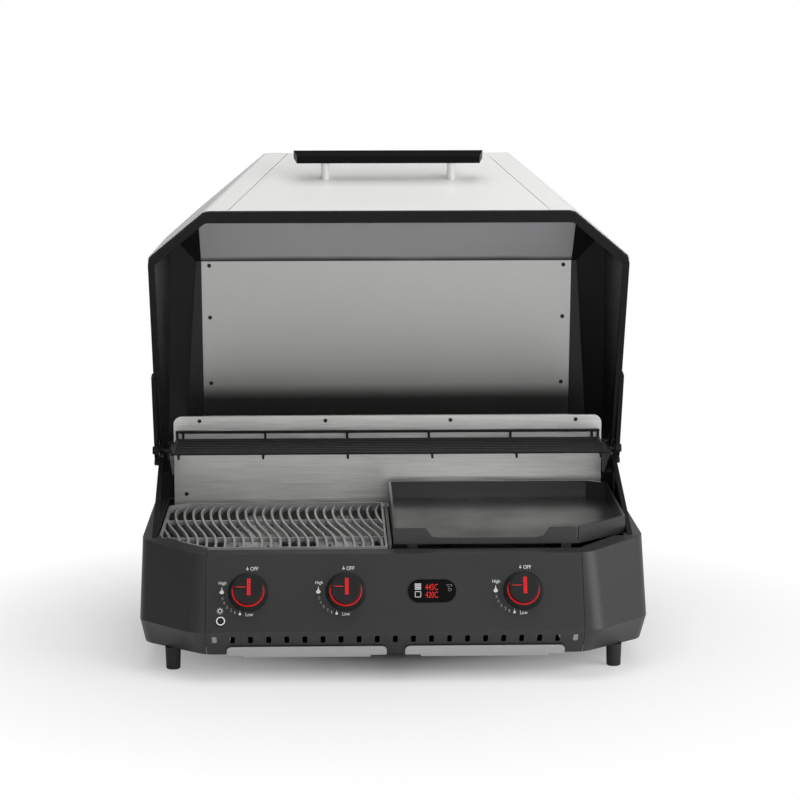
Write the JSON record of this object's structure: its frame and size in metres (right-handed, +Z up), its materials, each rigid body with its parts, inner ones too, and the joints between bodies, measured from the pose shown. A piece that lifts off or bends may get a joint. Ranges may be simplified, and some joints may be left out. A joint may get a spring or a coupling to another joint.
{
  "type": "table-top gas grill with griddle plate",
  "caption": "Table-top gas grill with a hinged hood, a cast grate, a griddle plate, a warming rack, lit turning knobs and pull-out drip trays.",
  "frame": {"origin": "under the middle of the grill with its lid open, on the plane that the feet stand on", "axes": "+X to the right seen from the controls, +Y to the back, +Z up"},
  "size_m": [0.8248, 0.6386, 0.8091],
  "materials": {
    "housing_grey": "satin charcoal enamel",
    "black_paint": "satin black",
    "steel": "brushed stainless",
    "cast": "matt enamelled casting",
    "brass": "turned brass",
    "knob_black": "matt black",
    "red_lens": "lit translucent red",
    "screen": "gloss black window",
    "ceramic": "white ceramic sleeve",
    "rubber": "matt black rubber",
    "white_enamel": "gloss white enamel",
    "tray_grey": "light grey coated steel"
  },
  "bodies": {
    "housing": {"fascia_panel": "housing_grey", "lower_skirt": "housing_grey", "side_shell_left": "housing_grey", "side_shell_right": "housing_grey", "rear_casing": "black_paint", "floor_pan": "black_paint", "firebox": "steel", "centre_divider": "steel", "burner_left": "steel", "burner_centre": "steel", "burner_right": "steel", "flame_tamer_left": "steel", "flame_tamer_centre": "steel", "gas_manifold": "steel", "gas_inlet": "brass", "valve_body_left": "brass", "valve_body_centre": "brass", "valve_body_right": "brass", "knob_bezels": "knob_black", "light_rings": "red_lens", "display_housing": "black_paint", "display_window": "screen", "ignition_electrodes": "ceramic", "tray_rails": "black_paint", "feet": "rubber", "back_panel": "steel", "cheek_left": "black_paint", "cheek_right": "black_paint", "rack_bracket_left": "black_paint", "rack_bracket_right": "black_paint", "hinge_pins": "steel", "panel_screws": "steel"},
    "lid": {"lid_hood": "white_enamel", "lid_cap_left": "white_enamel", "lid_cap_right": "white_enamel", "lid_liner_front": "steel", "lid_liner_top": "steel", "lid_liner_left": "black_paint", "lid_liner_right": "black_paint", "lid_rim": "black_paint", "lid_handle": "black_paint", "handle_posts": "steel", "hinge_arm_left": "black_paint", "hinge_arm_right": "black_paint", "lid_screws": "steel"},
    "grate": {"grill_grate": "cast"},
    "griddle": {"griddle_plate": "cast"},
    "rack": {"warming_rack": "steel"},
    "tray_left": {"drip_tray_left": "tray_grey"},
    "tray_right": {"drip_tray_right": "tray_grey"},
    "light_button": {"light_button": "knob_black"},
    "plug_left": {"valve_plug_left": "brass"},
    "knob_left": {"knob_left": "knob_black", "valve_stem_left": "steel"},
    "plug_centre": {"valve_plug_centre": "brass"},
    "knob_centre": {"knob_centre": "knob_black", "valve_stem_centre": "steel"},
    "plug_right": {"valve_plug_right": "brass"},
    "knob_right": {"knob_right": "knob_black", "valve_stem_right": "steel"}
  },
  "joints": [
    {"name": "lid_hinge", "type": "hinge", "parent": "housing", "child": "lid", "pos_m": [0, 0.2082, 0.281], "axis": [1, 0, 0], "range_deg": [0, 77.8]},
    {"name": "grate_lift", "type": "slide", "parent": "housing", "child": "grate", "axis": [0, 0, 1], "range_m": [0, 0.03]},
    {"name": "griddle_lift", "type": "slide", "parent": "housing", "child": "griddle", "axis": [0, 0, 1], "range_m": [0, 0.015]},
    {"name": "rack_lift", "type": "slide", "parent": "housing", "child": "rack", "axis": [0, 0, 1], "range_m": [0, 0.025]},
    {"name": "tray_left_slide", "type": "slide", "parent": "housing", "child": "tray_left", "axis": [0, -1, 0], "range_m": [0, 0.22]},
    {"name": "tray_right_slide", "type": "slide", "parent": "housing", "child": "tray_right", "axis": [0, -1, 0], "range_m": [0, 0.22]},
    {"name": "light_button_push", "type": "slide", "parent": "housing", "child": "light_button", "axis": [0, 0.8806, -0.4739], "range_m": [0, 0.0015], "stiffness_N_per_m": 800},
    {"name": "knob_left_turn", "type": "hinge", "parent": "housing", "child": "plug_left", "pos_m": [-0.2306, -0.287, 0.13924], "axis": [0, -0.8806, 0.4739], "range_deg": [-90, 90]},
    {"name": "knob_left_push", "type": "slide", "parent": "plug_left", "child": "knob_left", "axis": [0, 0.8806, -0.4739], "range_m": [0, 0.003], "stiffness_N_per_m": 800},
    {"name": "knob_centre_turn", "type": "hinge", "parent": "housing", "child": "plug_centre", "pos_m": [-0.0773, -0.287, 0.13924], "axis": [0, -0.8806, 0.4739], "range_deg": [-90, 90]},
    {"name": "knob_centre_push", "type": "slide", "parent": "plug_centre", "child": "knob_centre", "axis": [0, 0.8806, -0.4739], "range_m": [0, 0.003], "stiffness_N_per_m": 800},
    {"name": "knob_right_turn", "type": "hinge", "parent": "housing", "child": "plug_right", "pos_m": [0.2022, -0.287, 0.13924], "axis": [0, -0.8806, 0.4739], "range_deg": [-90, 90]},
    {"name": "knob_right_push", "type": "slide", "parent": "plug_right", "child": "knob_right", "axis": [0, 0.8806, -0.4739], "range_m": [0, 0.003], "stiffness_N_per_m": 800}
  ]
}
